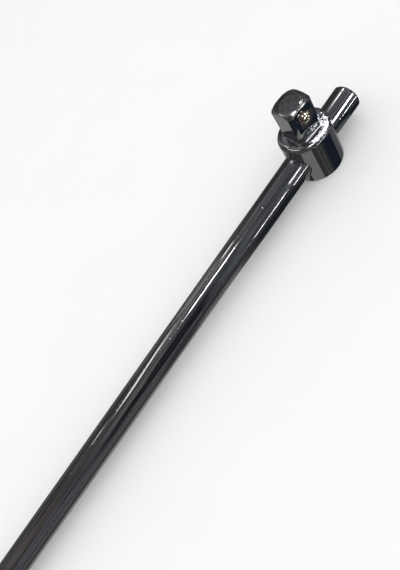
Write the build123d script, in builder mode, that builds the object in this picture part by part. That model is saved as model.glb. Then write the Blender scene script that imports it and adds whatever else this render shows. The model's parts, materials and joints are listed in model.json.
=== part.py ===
from build123d import *
import os
from math import asin, cos, degrees, pi, radians, sin, sqrt

# Sliding T-handle wrench: a bar that slides and swivels in a cross-bored head with a square drive.
# Millimetres. The origin is the centre of the head's flat base. +Z is the way the square points,
# and +X runs along the bar, towards the end that is nearer to the head when the tool is at rest.

# Bar
bar_diameter = 13.0
bar_length = 300.0
bar_end_chamfer = 0.5
bar_stub = 27.7  # from the head's axis to the nearer end of the bar, at rest
click_groove_depth = 0.45

# Head: a turned body with the bar's bore across it
head_diameter = 23.6
base_wall = 3.5  # under the bore
shoulder_wall = 6.3  # over the bore
base_chamfer = 0.45
shoulder_round_height = 1.55
shoulder_ring_width = 0.425  # flat, between the square's root round and the shoulder's round
bar_running_gap = 0.07  # radial, between the bar and its bore
bore_mouth_round = 0.4

# Square drive, on the head's shoulder
square_across_flats = 12.7
square_length = 15.7
square_corner_diameter = 15.95
square_root_round = 0.5
square_turn = -7.3  # degrees about the head's axis, from the bar's direction
tip_chamfer_width = 1.4
tip_chamfer_height = 0.86

# Socket detent: a sprung ball in a blind cross hole of the square
socket_ball_diameter = 6.35
socket_ball_tip_distance = 5.75  # from the square's tip to the ball's centre
socket_ball_gap = 0.04  # radial, in its hole and under its lip
socket_dish_diameter = 8.8
socket_lip_diameter = 5.8
socket_dish_depth = 0.4
socket_far_wall = 2.5  # between the hole's end and the square's other side
socket_spring_wire = 0.5
socket_spring_diameter = 4.6  # outside
socket_spring_turns = 4.5

# Bar detent: a sprung ball over the bar, which drops into the click grooves
bar_ball_diameter = 5.0
bar_ball_gap = 0.06  # radial, in its pocket and over the plain bar
click_groove_gap = 0.15  # between the ball's radius and the groove's
pocket_socket_wall = 1.9  # between the pocket's end and the socket ball's hole
bar_spring_wire = 0.5
bar_spring_diameter = 4.2  # outside
bar_spring_turns = 5.5

spring_end_gap = 0.06  # at each end of both springs

# Plug, pressed into the hole through which the bar ball's pocket is drilled
plug_bar_gap = 0.8
plug_chamfer = 0.3
plug_interference = 0.01

# Rubber ring in a groove of the bore, which grips the bar
ring_wire = 1.5
ring_bar_gap = 0.04
ring_groove_gap = 0.06
ring_pocket_wall = 2.8  # between the ring's groove and the bar ball's pocket

cut_overrun = 1.0

# Derived sizes and places
bar_radius = bar_diameter / 2
bore_radius = bar_radius + bar_running_gap
bar_axis_height = base_wall + bore_radius
bar_far_end = bar_stub - bar_length
click_groove_places = (0, 2 * bar_stub - bar_length)
head_radius = head_diameter / 2
head_height = bar_axis_height + bore_radius + shoulder_wall
square_tip_height = head_height + square_length
corner_radius = square_corner_diameter / 2
half_flat = square_across_flats / 2
shoulder_round_width = head_radius - corner_radius - square_root_round - shoulder_ring_width

# The socket ball stops against the lip, which closes round its sphere.
socket_ball_radius = socket_ball_diameter / 2
socket_hole_radius = socket_ball_radius + socket_ball_gap
socket_lip_radius = socket_lip_diameter / 2
lip_to_ball_centre = sqrt(socket_hole_radius**2 - socket_lip_radius**2)
socket_ball_depth = socket_dish_depth + lip_to_ball_centre  # of its centre, under the flat
socket_hole_depth = square_across_flats - socket_far_wall
socket_axis_height = square_tip_height - socket_ball_tip_distance

# The bar ball rides just over the plain bar.
bar_ball_radius = bar_ball_diameter / 2
pocket_radius = bar_ball_radius + bar_ball_gap
pocket_height = socket_axis_height - socket_hole_radius - pocket_socket_wall
bar_ball_height = bar_axis_height + bar_radius + bar_ball_gap + bar_ball_radius

plug_thickness = base_wall - plug_bar_gap

ring_radius = bar_radius + ring_bar_gap + ring_wire / 2
ring_groove_radius = bar_radius + ring_bar_gap + ring_wire + ring_groove_gap
ring_groove_half_width = ring_wire / 2 + ring_groove_gap
ring_place = -(pocket_radius + ring_pocket_wall + ring_groove_half_width)

bar_plane = Plane(origin=(0, 0, bar_axis_height), x_dir=(0, 1, 0), z_dir=(1, 0, 0))
bar_axis = Axis(bar_plane.origin, bar_plane.z_dir)

# The socket ball's hole runs into this plane, from the flat of the square that faces -Y.
turned = Plane.XY.rotated((0, 0, square_turn))
flat_plane = Plane(
    origin=turned.y_dir * -half_flat + Vector(0, 0, socket_axis_height),
    x_dir=turned.x_dir,
    z_dir=turned.y_dir,
)
hole_axis = Axis(flat_plane.origin, flat_plane.z_dir)
hole_section = Plane(origin=flat_plane.origin, x_dir=turned.x_dir, z_dir=(0, 0, 1))

os.makedirs("parts", exist_ok=True)


def coil_point(plane, radius, pitch, turn):
    """A point of a coil about the plane's normal, and the coil's heading there."""
    angle = 2 * pi * turn
    across = plane.x_dir * cos(angle) + plane.y_dir * sin(angle)
    around = plane.y_dir * cos(angle) - plane.x_dir * sin(angle)
    place = plane.origin + across * radius + plane.z_dir * (pitch * turn)
    heading = around * (2 * pi * radius) + plane.z_dir * pitch
    return place, heading.normalized()


def biarc_joint(start, start_heading, end, end_heading):
    """Where two arcs from start to end meet smoothly, and their heading there."""
    chord = end - start
    both = start_heading + end_heading
    spread = 4 - both.dot(both)
    along = chord.dot(both)
    reach = (sqrt(along**2 + spread * chord.dot(chord)) - along) / spread
    near = start + start_heading * reach
    far = end - end_heading * reach
    return (near + far) * 0.5, (far - near).normalized()


def coil_spring(plane, length, turns, diameter, wire):
    """One unbroken wire, wound from the plane along its normal, on a biarc for each quarter turn."""
    quarters = int(turns * 4)
    radius = (diameter - wire) / 2
    pitch = (length - wire) / turns
    first = plane.offset(wire / 2)
    with BuildPart() as spring:
        with BuildLine() as path:
            for quarter in range(quarters):
                start, start_heading = coil_point(first, radius, pitch, quarter / 4)
                end, end_heading = coil_point(first, radius, pitch, (quarter + 1) / 4)
                joint, joint_heading = biarc_joint(start, start_heading, end, end_heading)
                TangentArc(start, joint, tangent=start_heading)
                TangentArc(joint, end, tangent=joint_heading)
        with BuildSketch(Plane(origin=path.wire() @ 0, z_dir=path.wire() % 0)):
            Circle(wire / 2)
        sweep(path=path.wire())
    print("spring of", turns, "turns: gap between its turns", round(pitch - wire, 3), "mm")
    return spring.part


def ball_to_spring(ball_radius, spring_diameter, wire):
    """From a ball's centre to the near side of a spring that rests on the ball."""
    coil_radius = (spring_diameter - wire) / 2
    return sqrt((ball_radius + wire / 2 + spring_end_gap) ** 2 - coil_radius**2) - wire / 2


# Bar: plain round stock with a click groove near each end
with BuildPart() as slide_bar:
    with BuildSketch(bar_plane.offset(bar_far_end)):
        Circle(bar_radius)
    extrude(amount=bar_length)
    chamfer(slide_bar.edges().filter_by(GeomType.CIRCLE), length=bar_end_chamfer)
    click_groove_radius = bar_ball_radius + click_groove_gap
    click_groove_centre = bar_axis_height + bar_radius - click_groove_depth + click_groove_radius
    with BuildSketch(Plane.XZ):
        for groove_place in click_groove_places:
            with Locations((groove_place, click_groove_centre)):
                Circle(click_groove_radius)
    revolve(axis=bar_axis, mode=Mode.SUBTRACT)
slide_bar.part.label = "slide_bar"
export_step(slide_bar.part, "parts/slide_bar.step")

# Head: the turned body, its square, the bore across it and the holes of both detents
with BuildPart() as drive_head:
    with BuildSketch(Plane.XZ):
        with BuildLine():
            Polyline(
                (0, head_height),
                (0, 0),
                (head_radius - base_chamfer, 0),
                (head_radius, base_chamfer),
                (head_radius, head_height - shoulder_round_height),
            )
            EllipticalCenterArc(
                (head_radius - shoulder_round_width, head_height - shoulder_round_height),
                shoulder_round_width,
                shoulder_round_height,
                start_angle=0,
                arc_size=90,
            )
            Line((head_radius - shoulder_round_width, head_height), (0, head_height))
        make_face()
    revolve(axis=Axis.Z)
    with BuildSketch(Plane.XY.offset(head_height)):
        Rectangle(square_across_flats, square_across_flats, rotation=square_turn)
        Circle(corner_radius, mode=Mode.INTERSECT)
    extrude(amount=square_length)
    root_edges = drive_head.edges(Select.LAST).filter_by_position(Axis.Z, head_height, head_height)
    fillet(root_edges, square_root_round)
    # The tip is turned off on a cone, which rounds the top of each flat.
    with BuildSketch(Plane.XZ):
        with BuildLine():
            Polyline(
                (corner_radius, square_tip_height - tip_chamfer_height),
                (corner_radius - tip_chamfer_width, square_tip_height),
                (corner_radius, square_tip_height),
                close=True,
            )
        make_face()
    revolve(axis=Axis.Z, mode=Mode.SUBTRACT)
    # Bore for the bar, with rounded mouths
    with BuildSketch(bar_plane):
        Circle(bore_radius)
    extrude(amount=head_radius + cut_overrun, both=True, mode=Mode.SUBTRACT)
    mouth_edges = drive_head.edges(Select.LAST).filter_by(GeomType.LINE, reverse=True)
    fillet(mouth_edges, bore_mouth_round)
    # Groove for the ring
    with BuildSketch(bar_plane.offset(ring_place)):
        Circle(ring_groove_radius)
    extrude(amount=ring_groove_half_width, both=True, mode=Mode.SUBTRACT)
    # Pocket for the bar ball, drilled from the base and across the bore
    with BuildSketch(Plane.XY):
        Circle(pocket_radius)
    extrude(amount=pocket_height, mode=Mode.SUBTRACT)
    # Hole for the socket ball: a shallow dish, then a lip round the ball's sphere, then the bore
    with BuildSketch(hole_section):
        with BuildLine():
            Polyline(
                (socket_lip_radius, socket_dish_depth),
                (socket_dish_diameter / 2, 0),
                (socket_dish_diameter / 2, -cut_overrun),
                (0, -cut_overrun),
                (0, socket_hole_depth),
                (socket_hole_radius, socket_hole_depth),
                (socket_hole_radius, socket_ball_depth),
            )
            CenterArc(
                (0, socket_ball_depth),
                socket_hole_radius,
                start_angle=0,
                arc_size=-degrees(asin(lip_to_ball_centre / socket_hole_radius)),
            )
        make_face()
    revolve(axis=hole_axis, mode=Mode.SUBTRACT)
drive_head.part.label = "drive_head"
export_step(drive_head.part, "parts/drive_head.step")

# Plug, flush with the base
with BuildPart() as base_plug:
    with BuildSketch(Plane.XY):
        Circle(pocket_radius + plug_interference)
    extrude(amount=plug_thickness)
    chamfer(base_plug.edges().filter_by(GeomType.CIRCLE), length=plug_chamfer)
base_plug.part.label = "base_plug"
export_step(base_plug.part, "parts/base_plug.step")

# Rubber ring round the bar
with BuildPart() as bar_grip_ring:
    with BuildSketch(Plane.XZ):
        with Locations((ring_place, bar_axis_height + ring_radius)):
            Circle(ring_wire / 2)
    revolve(axis=bar_axis)
bar_grip_ring.part.label = "bar_grip_ring"
export_step(bar_grip_ring.part, "parts/bar_grip_ring.step")

# Ball over the bar
with BuildPart() as bar_detent_ball:
    with Locations((0, 0, bar_ball_height)):
        Sphere(bar_ball_radius)
bar_detent_ball.part.label = "bar_detent_ball"
export_step(bar_detent_ball.part, "parts/bar_detent_ball.step")

# Ball in the square, which stands proud of the flat
with BuildPart() as socket_detent_ball:
    with Locations(flat_plane.offset(socket_ball_depth).origin):
        Sphere(socket_ball_radius)
socket_detent_ball.part.label = "socket_detent_ball"
export_step(socket_detent_ball.part, "parts/socket_detent_ball.step")

# Spring between the bar ball and the pocket's end
bar_spring_foot = bar_ball_height + ball_to_spring(bar_ball_radius, bar_spring_diameter, bar_spring_wire)
bar_detent_spring = coil_spring(
    Plane.XY.offset(bar_spring_foot),
    pocket_height - spring_end_gap - bar_spring_foot,
    bar_spring_turns,
    bar_spring_diameter,
    bar_spring_wire,
)
bar_detent_spring.label = "bar_detent_spring"
export_step(bar_detent_spring, "parts/bar_detent_spring.step")

# Spring between the socket ball and its hole's end
socket_spring_foot = socket_ball_depth + ball_to_spring(
    socket_ball_radius, socket_spring_diameter, socket_spring_wire
)
socket_detent_spring = coil_spring(
    flat_plane.offset(socket_spring_foot),
    socket_hole_depth - spring_end_gap - socket_spring_foot,
    socket_spring_turns,
    socket_spring_diameter,
    socket_spring_wire,
)
socket_detent_spring.label = "socket_detent_spring"
export_step(socket_detent_spring, "parts/socket_detent_spring.step")
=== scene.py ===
import json
from math import cos, radians, sin

import bpy
from mathutils import Matrix, Vector


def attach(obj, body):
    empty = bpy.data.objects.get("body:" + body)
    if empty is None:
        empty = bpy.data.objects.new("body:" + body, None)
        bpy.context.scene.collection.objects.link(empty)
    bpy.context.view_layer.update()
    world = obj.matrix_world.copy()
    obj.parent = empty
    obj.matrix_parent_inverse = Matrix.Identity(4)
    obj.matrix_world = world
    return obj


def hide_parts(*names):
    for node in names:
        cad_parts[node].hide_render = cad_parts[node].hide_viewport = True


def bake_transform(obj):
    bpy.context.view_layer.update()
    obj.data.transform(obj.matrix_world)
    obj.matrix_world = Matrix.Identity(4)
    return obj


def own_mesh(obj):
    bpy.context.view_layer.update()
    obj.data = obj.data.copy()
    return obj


# Looks of the sliding T-handle wrench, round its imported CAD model. Metres unless a name or comment says mm.

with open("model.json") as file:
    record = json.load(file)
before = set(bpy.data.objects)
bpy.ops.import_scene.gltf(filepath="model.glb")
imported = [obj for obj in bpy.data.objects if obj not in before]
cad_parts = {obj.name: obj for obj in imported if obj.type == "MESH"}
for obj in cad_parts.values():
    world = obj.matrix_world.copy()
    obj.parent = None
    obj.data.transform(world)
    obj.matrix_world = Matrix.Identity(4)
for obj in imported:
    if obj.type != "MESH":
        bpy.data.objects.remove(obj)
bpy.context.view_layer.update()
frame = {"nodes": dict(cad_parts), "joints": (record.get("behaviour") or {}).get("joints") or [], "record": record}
nodes = frame["nodes"]
scene = bpy.context.scene
MM = 0.001

# Places on the tool, in mm
NEAR_END, FAR_END = 27.7, -272.3  # the bar's two ends, along X
HEAD_RADIUS = 11.8
SHOULDER_LOW, SHOULDER_HIGH = 20.9, 23.6  # the rough ring round the square's foot, with its borders, along Z
TIP = 38.64  # the square's flat tip, along Z
HALF_SQUARE = 6.35
BALL_FLAT = (-0.127, -0.992)  # X and Y of the direction in which the flat with the ball faces

CHROME, HAZY_CHROME, STAINED_CHROME = (0.60, 0.605, 0.62), (0.53, 0.53, 0.54), (0.36, 0.35, 0.37)
PLAIN = (1, 1, 1)


# Small helpers for node materials

class Shader:
    """A material whose nodes are added one by one. Heights and lengths in its textures are in millimetres."""

    def __init__(self, name):
        self.material = bpy.data.materials.new(name)
        self.material.use_nodes = True
        self.tree = self.material.node_tree
        self.tree.nodes.clear()
        self.place = None

    def add(self, kind, inputs=None, out=0, **settings):
        """The output of a new node with these inputs, each a value or the output of another node."""
        node = self.tree.nodes.new("ShaderNode" + kind)
        for name, value in settings.items():
            setattr(node, name, value)
        for name, value in (inputs or {}).items():
            socket = node.inputs[name]
            if isinstance(value, bpy.types.NodeSocket):
                self.tree.links.new(value, socket)
            else:
                socket.default_value = value
        return node.outputs[out] if node.outputs else None

    def math(self, operation, a, b=0.0, c=0.0):
        return self.add("Math", {0: a, 1: b, 2: c}, operation=operation)

    def times(self, a, b):
        return self.math("MULTIPLY", a, b)

    def layered(self, base, *layers):
        """The base with each layer added, where a layer is a pattern and its amount."""
        for pattern, amount in layers:
            base = self.math("MULTIPLY_ADD", pattern, amount, base)
        return base

    def position(self):
        """Place on the piece in millimetres, fixed to the piece."""
        if self.place is None:
            coordinates = self.add("TexCoord", out="Object")
            self.place = self.add("VectorMath", {0: coordinates, "Scale": 1 / MM}, operation="SCALE")
        return self.place

    def along(self, axis):
        return self.add("SeparateXYZ", {0: self.position()}, out=axis)

    def radius(self, x, y):
        """Distance from the head's upright axis."""
        return self.math("SQRT", self.math("ADD", self.times(x, x), self.times(y, y)))

    def stretched(self, scale, turn=(0, 0, 0), offset=(0, 0, 0)):
        """The place with each axis scaled, after a turn in degrees. One scale may stand for all three."""
        scales = scale if isinstance(scale, tuple) else (scale,) * 3
        turned = self.add(
            "Mapping",
            {"Vector": self.position(), "Rotation": [radians(a) for a in turn], "Location": offset},
        )
        return self.add("VectorMath", {0: turned, 1: scales}, operation="MULTIPLY")

    def noise(self, scale, turn=(0, 0, 0), offset=(0, 0, 0), detail=2.0, roughness=0.5):
        """Smooth noise from 0 to 1, with so many waves in a millimetre."""
        place = self.stretched(scale, turn, offset)
        return self.add(
            "TexNoise", {"Vector": place, "Scale": 1.0, "Detail": detail, "Roughness": roughness}, out="Fac"
        )

    def step(self, value, low, high, to_low=0.0, to_high=1.0):
        """A smooth ramp of value from low to high."""
        return self.add(
            "MapRange",
            {"Value": value, "From Min": low, "From Max": high, "To Min": to_low, "To Max": to_high},
            interpolation_type="SMOOTHSTEP",
        )

    def mix_colour(self, factor, a, b):
        node = self.tree.nodes.new("ShaderNodeMix")
        node.data_type = "RGBA"
        factor_in, a_in, b_in, colour_out = node.inputs[0], node.inputs[6], node.inputs[7], node.outputs[2]
        self.tree.links.new(factor, factor_in)
        for value, socket in ((a, a_in), (b, b_in)):
            if isinstance(value, bpy.types.NodeSocket):
                self.tree.links.new(value, socket)
            else:
                socket.default_value = (*value, 1)
        return colour_out

    def bump(self, height, edge=None):
        """The normal that a height in millimetres gives, over edges rounded by so many metres."""
        inputs = {"Height": height, "Strength": 1.0, "Distance": MM}
        if edge is not None:
            inputs["Normal"] = self.add("Bevel", {"Radius": edge}, samples=4)
        return self.add("Bump", inputs, out="Normal")

    def finish(self, **inputs):
        """The Principled shader with these inputs, named with underscores for blanks."""
        surface = self.add("BsdfPrincipled", {name.replace("_", " "): value for name, value in inputs.items()})
        self.add("OutputMaterial", {"Surface": surface})
        return self.material


def scratches(shader, turn, length, width, share, seed):
    """Thin straight marks along one direction: 1 on a mark, 0 elsewhere. Sizes in millimetres."""
    line_scale = (1 / length, 1 / width, 1 / width)
    lines = shader.noise(line_scale, turn, offset=(seed, seed * 2, seed * 3), detail=0)
    patches = shader.noise((0.11, 0.16, 0.16), turn, offset=(seed * 5, seed, seed), detail=1)
    marks = shader.step(lines, 0.72, 0.76)
    return shader.times(marks, shader.step(patches, 1 - share, 1.08 - share))


def pits(shader, spacing, size, share, seed):
    """Tiny round pits: 1 at a pit's centre. Sizes in millimetres."""
    cells = {"Vector": shader.stretched(1 / spacing, (17, 31, 5), (seed, seed, seed)), "Scale": 1.0}
    distance = shader.add("TexVoronoi", cells, feature="F1", out="Distance")
    colour = shader.add("TexVoronoi", cells, feature="F1", out="Color")
    pick = shader.add("SeparateColor", {0: colour}, out="Red")
    chosen = shader.math("GREATER_THAN", pick, 1 - share)
    return shader.times(shader.step(distance, size / spacing, 0.0), chosen)


def smudged_chrome(shader, smudge):
    return shader.mix_colour(shader.times(smudge, 0.5), CHROME, HAZY_CHROME)


def bar_chrome():
    s = Shader("bar_chrome")
    x = s.along("X")

    # Slow waves of the ground surface, fine orange peel in patches, and lines drawn along the bar
    wave = s.noise((0.12, 0.42, 0.42))
    peel = s.noise((2.1, 2.3, 2.3), roughness=0.6)
    peeled = s.step(s.noise((0.10, 0.22, 0.22), offset=(4, 4, 9), detail=3.0), 0.38, 0.62, 0.35, 1.0)
    lines = s.noise((0.03, 1.1, 1.1), detail=3.0, roughness=0.7)

    # Handling marks, pits, and the knocks at the bar's ends
    long_marks = scratches(s, turn=(0, 0, 0), length=14.0, width=0.10, share=0.45, seed=3.1)
    cross_marks = scratches(s, turn=(0, 0, 68), length=5.0, width=0.07, share=0.34, seed=8.7)
    slant_marks = scratches(s, turn=(25, 20, 25), length=8.0, width=0.08, share=0.36, seed=5.3)
    dots = pits(s, spacing=0.95, size=0.19, share=0.34, seed=4.0)
    dimples = pits(s, spacing=1.15, size=0.38, share=0.42, seed=7.0)
    chipped_end = s.step(x, NEAR_END - 4.7, NEAR_END - 1.2)
    chips = s.times(pits(s, spacing=0.8, size=0.36, share=0.55, seed=2.0), chipped_end)
    near_nicks = s.step(x, NEAR_END - 1.1, NEAR_END - 0.4)
    far_nicks = s.step(x, FAR_END + 1.1, FAR_END + 0.4)
    nicked_ends = s.math("MAXIMUM", near_nicks, far_nicks)
    nicks = s.noise(1.1, offset=(3, 1, 2), detail=1.0, roughness=0.6)

    # What lies on the surface
    smudge = s.step(s.noise((0.055, 0.10, 0.10), detail=4.0, roughness=0.62), 0.48, 0.68)
    film = s.step(s.noise(0.5, detail=5.0, roughness=0.7), 0.35, 0.75)

    height = s.layered(
        0.0,
        (wave, 0.009),
        (peel, s.times(peeled, 0.0055)),
        (lines, 0.0075),
        (nicks, s.times(nicked_ends, 0.20)),
        (long_marks, -0.0012),
        (cross_marks, -0.0016),
        (slant_marks, -0.0014),
        (dots, -0.022),
        (dimples, -0.020),
        (chips, -0.07),
    )
    rough = s.layered(
        0.035, (smudge, 0.07), (film, 0.03), (long_marks, 0.12), (cross_marks, 0.12), (slant_marks, 0.12)
    )
    edge = s.step(x, NEAR_END - 1.4, NEAR_END - 0.6, 0.15 * MM, 0.4 * MM)
    return s.finish(
        Base_Color=smudged_chrome(s, smudge), Metallic=1.0, Roughness=rough, Normal=s.bump(height, edge)
    )


def head_chrome():
    s = Shader("head_chrome")
    x, y, z = (s.along(axis) for axis in "XYZ")
    wave = s.noise((0.25, 0.25, 0.12))
    peel = s.noise(1.1, roughness=0.6)
    around = scratches(s, turn=(0, 0, 0), length=4.0, width=0.09, share=0.40, seed=2.2)
    slant_marks = scratches(s, turn=(70, 20, 35), length=5.0, width=0.08, share=0.40, seed=6.4)
    dots = pits(s, spacing=1.3, size=0.2, share=0.25, seed=9.0)
    mottle = s.noise(0.55, detail=4.0, roughness=0.65)
    smudge = s.step(s.noise(0.12, detail=4.0, roughness=0.62), 0.48, 0.68)

    # The crumpled skin of the shoulder: rough on the right, smooth close to the flat with the ball
    crumple = s.noise(0.66, offset=(2, 5, 1), roughness=0.68)
    above, below = s.step(z, SHOULDER_LOW, SHOULDER_LOW + 1.0), s.step(z, SHOULDER_HIGH, SHOULDER_HIGH - 0.6)
    shoulder = s.times(above, below)
    right_side = s.step(s.layered(0.0, (y, -0.45), (x, 0.9)), -2.0, 6.0, 0.06, 1.0)
    from_flat = s.layered(-HALF_SQUARE, (y, BALL_FLAT[1]), (x, BALL_FLAT[0]))
    off_the_foot = s.math("MAXIMUM", s.step(from_flat, 0.8, 2.4), s.step(x, 2.5, 4.5))
    crumpled = s.times(s.times(shoulder, s.times(right_side, off_the_foot)), 0.56)

    # The square's tip: slightly crowned towards its rim, mottled and stained
    tip = s.step(z, TIP - 0.19, TIP - 0.04)
    from_rim = s.math("MAXIMUM", s.math("SUBTRACT", s.radius(x, y), 4.4), 0.0)
    crown = s.times(s.times(from_rim, from_rim), tip)

    height = s.layered(
        0.0,
        (wave, 0.010),
        (peel, 0.0015),
        (crumple, crumpled),
        (mottle, s.times(tip, 0.016)),
        (crown, -0.09),
    )
    for dent, size in (((2.4, -4.6, TIP), 0.62), ((1.45, -4.4, TIP), 0.36)):
        from_dent = s.add("VectorMath", {0: s.position(), 1: dent}, out="Value", operation="DISTANCE")
        slope = s.times(s.math("SUBTRACT", y, dent[1]), 0.6)
        height = s.layered(height, (s.step(from_dent, size, size * 0.7), slope))
    height = s.layered(height, (around, -0.0012), (slant_marks, -0.0014), (dots, -0.015))
    rough = s.layered(
        0.035, (smudge, 0.06), (s.times(mottle, tip), 0.26), (around, 0.12), (slant_marks, 0.12)
    )
    stain = s.times(s.step(mottle, 0.48, 0.60), s.times(tip, 0.55))
    colour = s.mix_colour(stain, smudged_chrome(s, smudge), STAINED_CHROME)
    edge = s.step(z, TIP - 2.24, TIP - 1.24, 0.12 * MM, 0.8 * MM)
    return s.finish(Base_Color=colour, Metallic=1.0, Roughness=rough, Normal=s.bump(height, edge))


def ball_steel():
    s = Shader("ball_steel")
    peel = s.noise(1.0, offset=(3, 3, 2))
    marks = scratches(s, turn=(40, 10, 60), length=1.2, width=0.05, share=0.45, seed=1.4)
    wear = s.step(s.noise(0.6, detail=4.0), 0.42, 0.66)
    height = s.layered(0.0, (peel, 0.0055), (marks, -0.0008))
    rough = s.layered(0.035, (wear, 0.035), (marks, 0.08))
    colour = s.mix_colour(wear, (0.68, 0.61, 0.49), (0.58, 0.51, 0.40))
    return s.finish(Base_Color=colour, Metallic=1.0, Roughness=rough, Normal=s.bump(height))


def plug_steel():
    s = Shader("plug_steel")
    turning = s.math("SINE", s.times(s.radius(s.along("X"), s.along("Y")), 52.0))
    stain = s.noise(0.8, detail=4.0, roughness=0.65)
    height = s.layered(0.0, (turning, 0.0012), (stain, 0.004))
    rough = s.layered(0.16, (stain, 0.22))
    colour = s.mix_colour(stain, (0.58, 0.58, 0.60), (0.47, 0.46, 0.46))
    return s.finish(Base_Color=colour, Metallic=1.0, Roughness=rough, Normal=s.bump(height))


def spring_steel():
    s = Shader("spring_steel")
    draw = s.noise((3.0, 3.0, 9.0), detail=3.0)
    stain = s.noise(0.7, detail=3.0)
    height = s.times(draw, 0.003)
    rough = s.layered(0.18, (draw, 0.20))
    colour = s.mix_colour(stain, (0.50, 0.50, 0.51), (0.36, 0.35, 0.34))
    return s.finish(Base_Color=colour, Metallic=1.0, Roughness=rough, Normal=s.bump(height))


def ring_rubber():
    s = Shader("ring_rubber")
    grain = s.noise(4.0, detail=4.0, roughness=0.7)
    dust = s.step(s.noise(0.5, detail=3.0), 0.5, 0.75)
    height = s.times(grain, 0.012)
    rough = s.layered(0.50, (grain, 0.25))
    colour = s.mix_colour(dust, (0.022, 0.022, 0.022), (0.05, 0.048, 0.045))
    return s.finish(Base_Color=colour, Metallic=0.0, Roughness=rough, Normal=s.bump(height))


finishes = {
    "bar_chrome": bar_chrome(),
    "head_chrome": head_chrome(),
    "ball_steel": ball_steel(),
    "plug_steel": plug_steel(),
    "spring_steel": spring_steel(),
    "ring_rubber": ring_rubber(),
}
for part in frame["record"]["subparts"]:
    piece = nodes[part["node"]]
    if not piece.material_slots:
        piece.data.materials.append(None)
    for slot in piece.material_slots:
        slot.material = finishes[part["material_slot"]]


# The springs: each CAD spring is hidden and a copy of its mesh stands in for it, with the ends found along its axis;
# the socket's copy goes with the head

def soft_spring(node, axis):
    """A mesh that stands for a spring of the CAD model, and the points of its two ends along an axis."""
    mesh = nodes[node].data.copy()
    mesh.name = node + "_soft"
    thing = bpy.data.objects.new(mesh.name, mesh)
    scene.collection.objects.link(thing)
    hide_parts(node)
    along = [axis.dot(corner.co) for corner in mesh.vertices]
    return thing, axis * min(along), axis * max(along)


press = next(joint for joint in frame["joints"] if joint["name"] == "socket_ball_press")
socket_spring, ball_end, deep_end = soft_spring("socket_detent_spring", Vector(press["axis"]).normalized())
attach(socket_spring, "head")
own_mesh(socket_spring)
bar_spring, ball_end, top_end = soft_spring("bar_detent_spring", Vector((0, 0, 1)))
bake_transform(bar_spring)


# Studio: cards and lamps that only the polished metal shows, a pale floor, and soft light from all round

DOME_RADIUS = 2.6
LAMP_DISTANCE = 2.3
DOME_STEP = 6  # degrees between the corners of a dome patch
DOME_CLUTTER = 420.0  # mm
NEAR_LAMP_SPARE = 0.4  # mm
BALL_LAMP_DISTANCE, BALL_LAMP_HALF = 6, 0.8  # mm
BALL_LAMP_STRENGTH = 7.0
HEADING_AT_FRONT, HEADING_PER_ANGLE = -53.7, 2.09  # of what the head's side mirrors, at its front and from there
UNSEEN_BY = ("camera", "diffuse", "shadow", "transmission", "volume_scatter")


def glow(name, colour, strength, soft, clutter=0.0, one_sided=False, reach=0.0):
    """A glowing material for cards and lamps, which fades out towards the card's edges over the share soft.
    Clutter is the size in millimetres of its lighter and darker patches, or zero for none. A reach in millimetres
    limits a small lamp to the surfaces close to it."""
    s = Shader(name)
    if clutter:
        patches = s.noise(1 / clutter, detail=5.0, roughness=0.62)
        strength = s.times(s.step(patches, 0.30, 0.70, 0.35, 1.75), strength)
    light = s.add("Emission", {"Color": (*colour, 1), "Strength": strength})

    def hidden(share, shown, unseen):
        """The light made clear by a share. Shown and unseen are the mixer's inputs for the light and for nothing."""
        return s.add("MixShader", {0: share, shown: light, unseen: s.add("BsdfTransparent")})

    if soft:
        place = s.add("TexCoord", out="UV")
        shares = []
        for axis in ("X", "Y"):
            along = s.add("SeparateXYZ", {0: place}, out=axis)
            from_edge = s.math("MINIMUM", along, s.math("SUBTRACT", 1.0, along))
            shares.append(s.step(from_edge, 0.0, soft))
        light = hidden(s.times(*shares), shown=2, unseen=1)
    if one_sided:
        light = hidden(s.add("NewGeometry", out="Backfacing"), shown=1, unseen=2)
    if reach:
        beyond = s.math("GREATER_THAN", s.add("LightPath", out="Ray Length"), reach * MM)
        light = hidden(beyond, shown=1, unseen=2)
    s.add("OutputMaterial", {"Surface": light})
    return s.material


def card(name, corners, colour, strength, soft=0.0, lamp=False, clutter=0.0, one_sided=False, reach=0.0):
    """A flat or curved card of the studio, given as rows of corner points, seen in the metal alone. A card that is
    marked as a lamp is also sampled as a light."""
    rows, columns = len(corners), len(corners[0])
    points = [p for row in corners for p in row]
    faces = [
        (i * columns + j, i * columns + j + 1, (i + 1) * columns + j + 1, (i + 1) * columns + j)
        for i in range(rows - 1)
        for j in range(columns - 1)
    ]
    mesh = bpy.data.meshes.new(name)
    mesh.from_pydata(points, [], faces)
    shares = mesh.uv_layers.new(name="shares")
    for loop in mesh.loops:
        i, j = divmod(loop.vertex_index, columns)
        shares.data[loop.index].uv = (j / (columns - 1), i / (rows - 1))
    material = glow(name, colour, strength, soft, clutter, one_sided, reach)
    if not lamp:
        material.cycles.emission_sampling = "NONE"
    mesh.materials.append(material)
    thing = bpy.data.objects.new(name, mesh)
    scene.collection.objects.link(thing)
    for rays in UNSEEN_BY:
        setattr(thing, "visible_" + rays, False)


def direction(azimuth, elevation):
    a, e = radians(azimuth), radians(elevation)
    return Vector((cos(a) * cos(e), sin(a) * cos(e), sin(e)))


def spread(low, high, step):
    """Even values from low to high, about a step apart."""
    count = max(1, round(abs(high - low) / step))
    return [low + (high - low) * i / count for i in range(count + 1)]


def wall(name, azimuths, elevations, level, tint=PLAIN, soft=0.0, radius=DOME_RADIUS):
    """Part of the dark tent: a patch of a wide dome round the tool, between angles in degrees."""
    corners = [
        [direction(a, e) * radius for a in spread(*azimuths, DOME_STEP)]
        for e in spread(*elevations, DOME_STEP)
    ]
    card(name, corners, tint, level, soft, clutter=DOME_CLUTTER)


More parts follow.
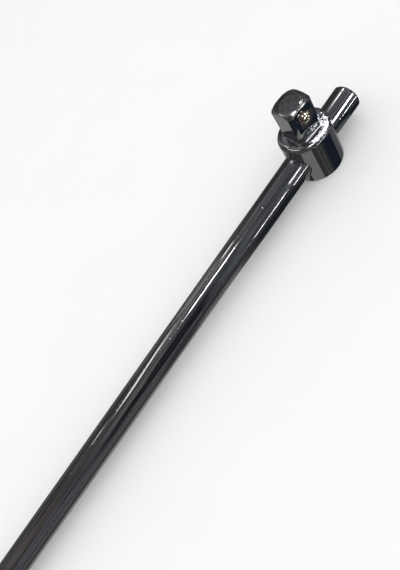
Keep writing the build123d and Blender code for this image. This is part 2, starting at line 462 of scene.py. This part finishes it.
def lamp(name, azimuth, elevation, width, height, strength, turn=0.0, soft=0.0):
    """A flat lamp in front of the tent that faces the tool. All angles and sizes in degrees."""
    heading = direction(azimuth, elevation)
    wide, high = (radians(a) * LAMP_DISTANCE for a in (width, height))
    side = Vector((0, 0, 1)).cross(heading).normalized()
    rise = heading.cross(side)
    t = radians(turn)
    across = (side * cos(t) + rise * sin(t)) * (wide / 2)
    along = (rise * cos(t) - side * sin(t)) * (high / 2)
    corners = [[heading * LAMP_DISTANCE + across * i + along * j for i in (-1, 0, 1)] for j in (-1, 0, 1)]
    card(name, corners, PLAIN, strength, soft, lamp=True)


def near_lamp(name, start, end, azimuth, elevation, distance, width, strength, soft=0.0, clutter=0.0):
    """A strip lamp close to the tool, all lengths in millimetres, that the edge or line from start to end shows
    along a direction. What is further from it than its distance and some spare doesn't show it."""
    heading = direction(azimuth, elevation)
    line = [Vector(start), Vector(end)]
    across = heading.cross(line[1] - line[0]).normalized() * (width / 2)
    corners = [[(p + heading * distance + across * i) * MM for i in (-1, 0, 1)] for p in line]
    card(name, corners, PLAIN, strength, soft, clutter=clutter, reach=distance + width / 2 + NEAR_LAMP_SPARE)


def lamp_grid(name, first, across, along, counts, size, strength, reach):
    """Small square lamps in rows, which rough metal shows as broken sparkle. All lengths in millimetres."""
    first, across, along = Vector(first), Vector(across), Vector(along)
    halves = [side.normalized() * size / 2 for side in (across, along)]
    for i in range(counts[0]):
        for j in range(counts[1]):
            centre = first + across * i + along * j
            corners = [[(centre + halves[0] * u + halves[1] * v) * MM for u in (-1, 1)] for v in (-1, 1)]
            card(f"{name}_{i}_{j}", corners, (0.98, 0.99, 1.03), strength, one_sided=True, reach=reach)


def ball_lamp(name, place, heading, facing):
    """A small square lamp that the ball shows at a place in millimetres, in a heading, facing another way."""
    centre, normal = Vector(place) + BALL_LAMP_DISTANCE * direction(*heading), direction(*facing)
    side = normal.cross(Vector((0, 0, 1))).normalized()
    rise = side.cross(normal)
    halves = (-BALL_LAMP_HALF, BALL_LAMP_HALF)
    corners = [[(centre + side * u + rise * v) * MM for u in halves] for v in halves]
    card(name, corners, PLAIN, BALL_LAMP_STRENGTH, one_sided=True, reach=BALL_LAMP_DISTANCE + BALL_LAMP_HALF)


def mat(name, outline, height_mm, level, tint=PLAIN, soft=0.0):
    """A card that lies on the floor. The outline is rows of points in millimetres."""
    card(name, [[Vector((x, y, height_mm)) * MM for x, y in row] for row in outline], tint, level, soft)


def square_mat(name, x_range, y_range, height_mm, level, tint=PLAIN, soft=0.0):
    mat(name, [[(x, y) for x in x_range] for y in y_range], height_mm, level, tint, soft)


def seen_by_head(angle, outward):
    """Floor place, in millimetres, that the head's side mirrors to the photograph's viewpoint, at an angle round
    the head and a distance outward from it."""
    heading = radians(HEADING_AT_FRONT + HEADING_PER_ANGLE * (angle + 90))
    a = radians(angle)
    return HEAD_RADIUS * cos(a) + outward * cos(heading), HEAD_RADIUS * sin(a) + outward * sin(heading)


def head_strip(name, low, high, height_mm, level, tint=PLAIN, reach=19.0):
    """Mat that the head's side shows between two angles round the head, as an upright strip."""
    outline = [[seen_by_head(angle, outward) for angle in spread(low, high, 2)] for outward in (-1.5, reach)]
    mat(name, outline, height_mm, level, tint)


def head_slats(name, low, high, level, tint):
    """Low upright slats on the floor, which glow towards the head alone, for the same use as a head_strip."""
    for i, x in enumerate(spread(-8.5, -30, 1.8)):
        ends = []
        for angle in (high, low):
            (x0, y0), (x1, y1) = seen_by_head(angle, 0), seen_by_head(angle, 1)
            ends.append(y0 + (x - x0) / (x1 - x0) * (y1 - y0))
        corners = [[Vector((x, y, z)) * MM for y in ends] for z in (0.3, 3.8)]
        card(f"{name}_{i}", corners, tint, level, one_sided=True)


def upright(name, x_range, y, z_range, strength):
    """A small lamp strip that stands on the mat, in millimetres."""
    card(name, [[Vector((x, y, z)) * MM for x in x_range] for z in z_range], PLAIN, strength, lamp=True)


wall("tent_front", (-146, -20), (0, 76), 0.075, (0.95, 1.0, 1.12))
wall("tent_front_dark", (-126, -91), (8, 64), 0.018, (0.95, 1.0, 1.1), soft=0.2, radius=2.5)
wall("tent_front_light", (-52, -16), (34, 68), 0.13, (0.95, 1.0, 1.1), soft=0.2, radius=2.5)
wall("tent_front_far", (-150, -115), (42, 68), 0.12, (1.02, 1.0, 1.0), soft=0.2, radius=2.45)
wall("tent_left", (140, 214), (0, 76), 0.075, (1.1, 1.0, 0.95))
wall("tent_back", (76, 140), (0, 76), 0.055, (0.97, 1.0, 1.06))
wall("tent_back_light", (86, 103), (6, 56), 0.19, soft=0.25, radius=2.5)
wall("tent_back_low", (76, 140), (0, 13), 0.13, soft=0.2, radius=2.5)
wall("tent_back_high", (72, 140), (54, 76), 0.20, soft=0.2, radius=2.5)
wall("tent_back_dark", (50, 82), (0, 42), 0.045, (0.98, 1.0, 1.05))
wall("tent_back_dim", (50, 82), (42, 76), 0.12, (1.0, 0.98, 1.04))
wall("tent_right_top", (-20, 50), (30, 76), 0.10, (1.0, 0.98, 1.04))
wall("tent_right", (-20, 50), (0, 30), 0.07, (0.94, 1.0, 1.12))
wall("tent_top", (-180, 180), (74, 90), 0.10)

lamp("lamp_a", azimuth=-79, elevation=6, width=7.5, height=1.4, strength=9.0)
lamp("lamp_c", azimuth=-59, elevation=25, width=11, height=9, strength=8.0)
lamp("lamp_f", azimuth=35, elevation=53.5, width=6.5, height=15, strength=3.2, turn=45, soft=0.5)
lamp("lamp_g", azimuth=-138, elevation=88.0, width=14, height=3.6, strength=12.0, turn=48, soft=0.2)
lamp("lamp_h", azimuth=85, elevation=50, width=2.8, height=6, strength=2.0)
lamp("lamp_i", azimuth=127, elevation=59.5, width=6, height=36, strength=1.25, turn=-56, soft=0.16)
lamp("lamp_j", azimuth=139, elevation=51.5, width=3, height=1.5, strength=3.0)

TIP_RIM = 38.6  # mm
near_lamp(
    "lamp_corner", (-6.6, -6.8, TIP_RIM), (-0.8, -1.9, TIP_RIM),
    azimuth=0, elevation=90, distance=8, width=2.4, strength=5.0,
)
near_lamp(
    "lamp_edge", (-1.4, -5.7, TIP_RIM), (2.6, -6.3, TIP_RIM),
    azimuth=-20, elevation=72, distance=8, width=1.1, strength=10.0,
)
near_lamp(
    "lamp_left_edge", (-5.4, -4.4, TIP_RIM), (-5.6, 0.2, TIP_RIM),
    azimuth=88, elevation=50, distance=30, width=9.0, strength=1.0, soft=0.15,
)
near_lamp(
    "lamp_foot_soft", (-5.6, -5.9, 23.0), (3.9, -7.1, 23.0),
    azimuth=-70, elevation=47, distance=36, width=4.3, strength=0.5, soft=0.3,
)
near_lamp(
    "lamp_dents", (1.1, -4.5, TIP_RIM), (3.0, -4.6, TIP_RIM),
    azimuth=-36, elevation=58, distance=8, width=1.6, strength=9.0,
)
near_lamp(
    "lamp_dots", (-11, -4.9, 14.3), (-23, -4.9, 14.3),
    azimuth=-69.6, elevation=27.2, distance=32, width=6.9, strength=1.9, soft=0.15, clutter=0.9,
)

BALL_LAMPS = (
    # place on the ball in mm, then two directions in degrees: where the lamp stands, and where it faces
    ((-1.7, -6.4, 35.2), (-109, 43), (-109, 43)),
    ((-0.5, -6.7, 35.2), (-58, 32), (-58, 32)),
    ((0.4, -7.0, 34.6), (-33, 1), (8, 45)),
    ((-1.6, -7.2, 34.3), (-100, 3), (-100, 3)),
    ((-0.6, -7.4, 34.2), (-68, -1), (-68, -1)),
    ((0.3, -7.6, 33.2), (-33, -37), (28, -15)),
    ((-0.7, -7.7, 32.8), (-57, -46), (28, -15)),
)
for number, directions in enumerate(BALL_LAMPS):
    ball_lamp(f"lamp_ball_{number}", *directions)

over_foot = [[Vector((x, y + w, 30)) * MM for x, y in ((-3.2, -8.2), (6.4, -9.4))] for w in (0.9, -0.9)]
card("lamp_foot", over_foot, PLAIN, 5.0, one_sided=True, reach=8.2)
lamp_grid(
    "lamp_shoulder", first=(10.2, -4.0, 33), across=(3.9, 0, 0), along=(0, -3.7, 0),
    counts=(3, 3), size=2.8, strength=7.5, reach=18.5,
)
lamp_grid(
    "lamp_end", first=(34, -5, 19.5), across=(0, 3, 0), along=(0, 0, -3),
    counts=(4, 4), size=0.8, strength=2.6, reach=10.5,
)
upright("lamp_d", (45, 66), -59, (2.5, 4.9), 8.0)
upright("lamp_b", (-14.5, -3), -25, (7.8, 8.5), 7.0)

# Mats, each lying a little over the one that it covers
square_mat("mat_all", (-1500, 1500), (-1500, 1500), 0.05, 0.05, (0.98, 0.98, 1.04))
square_mat("mat_back_near", (-300, 60), (8, 60), 0.08, 0.02)
square_mat("mat_back_far", (-1500, 0), (60, 1500), 0.10, 0.11, (1.0, 1.0, 0.98), soft=0.02)
square_mat("mat_back_patch", (-44, 4), (16, 54), 0.15, 0.25, soft=0.15)
square_mat("mat_hand_side", (-300, -120), (-150, -14), 0.10, 0.10, soft=0.1)
square_mat("mat_dark_near", (-54, 60), (-30, -3), 0.10, 0.02, (0.85, 1.0, 1.25), soft=0.1)
square_mat("mat_stub", (28, 62), (-48, -18), 0.15, 0.13, soft=0.2)
square_mat("mat_patch", (-104, -52), (-24, -11), 0.15, 0.16, soft=0.3)
square_mat("mat_band", (-300, -56), (-12, 7), 0.20, 0.26, soft=0.06)
square_mat("mat_under_glow", (-150, -28), (-8, 7), 0.25, 0.60, soft=0.35)
square_mat("mat_under_near", (-36, 60), (-4, 7), 0.15, 0.20, soft=0.1)
LIGHT_STRIP, LIGHT_STRIP_TINT = 0.205, (1.0, 1.01, 0.95)
head_strip("strip_light", -152, -127, 0.30, LIGHT_STRIP, LIGHT_STRIP_TINT, reach=2.2)
head_slats("slats_light", -152, -127, LIGHT_STRIP, LIGHT_STRIP_TINT)
head_strip("strip_dark", -127, -102, 0.30, 0.045, (0.97, 0.97, 1.06))
head_strip("strip_line_a", -116.5, -114.5, 0.35, 0.10)
head_strip("strip_line_b", -110, -107.5, 0.35, 0.085)
head_strip("strip_black", -102, -76, 0.40, 0.018, (0.75, 1.0, 1.6), reach=48.0)
head_strip("strip_right", -76, -56, 0.30, 0.10, (0.98, 0.98, 1.05))
head_strip("strip_far_right", -56, -30, 0.30, 0.26)

# Floor
FLOOR_HALF = 8
floor_shader = Shader("floor")
speck = floor_shader.noise(0.02, detail=3.0)
floor_material = floor_shader.finish(
    Base_Color=floor_shader.mix_colour(speck, (0.93, 0.93, 0.93), (0.90, 0.90, 0.90)),
    Roughness=0.8,
    Specular_IOR_Level=0.1,
)
floor_mesh = bpy.data.meshes.new("floor")
floor_corners = [(x * FLOOR_HALF, y * FLOOR_HALF, 0) for x, y in ((-1, -1), (1, -1), (1, 1), (-1, 1))]
floor_mesh.from_pydata(floor_corners, [], [(0, 1, 2, 3)])
floor_mesh.materials.append(floor_material)
floor = bpy.data.objects.new("floor", floor_mesh)
scene.collection.objects.link(floor)

# Soft light: a white surround, and one wide lamp high over the front
world = bpy.data.worlds.new("studio")
scene.world = world
world.use_nodes = True
surround = world.node_tree.nodes["Background"]
surround.inputs["Color"].default_value = (1, 1, 1, 1)
surround.inputs["Strength"].default_value = 1.0

KEY_AIM = Vector((-0.05, 0, 0))
key = bpy.data.lights.new("key", "AREA")
key.shape = "DISK"
key.size = 2.0
key.energy = 2.6
key_lamp = bpy.data.objects.new("key", key)
scene.collection.objects.link(key_lamp)
key_lamp.location = (-0.5, -0.6, 1.4)
key_lamp.rotation_euler = (KEY_AIM - key_lamp.location).to_track_quat("-Z", "Y").to_euler()
key_lamp.visible_glossy = False

# Camera, as the photograph was taken
EYE = Vector((-76.394, -115.581, 162.372)) * MM
right = Vector((0.57655, -0.6297, -0.52064))
up = Vector((0.81679, 0.46059, 0.34743))
back = right.cross(up).normalized()
up = back.cross(right).normalized()
right.normalize()
camera = bpy.data.cameras.new("camera")
camera.sensor_width = 36.0
camera.lens = 26.387
camera.clip_start = 0.005
view = bpy.data.objects.new("camera", camera)
scene.collection.objects.link(view)
view.matrix_world = Matrix.Translation(EYE) @ Matrix((right, up, back)).transposed().to_4x4()
scene.camera = view
scene.view_settings.view_transform = "Standard"
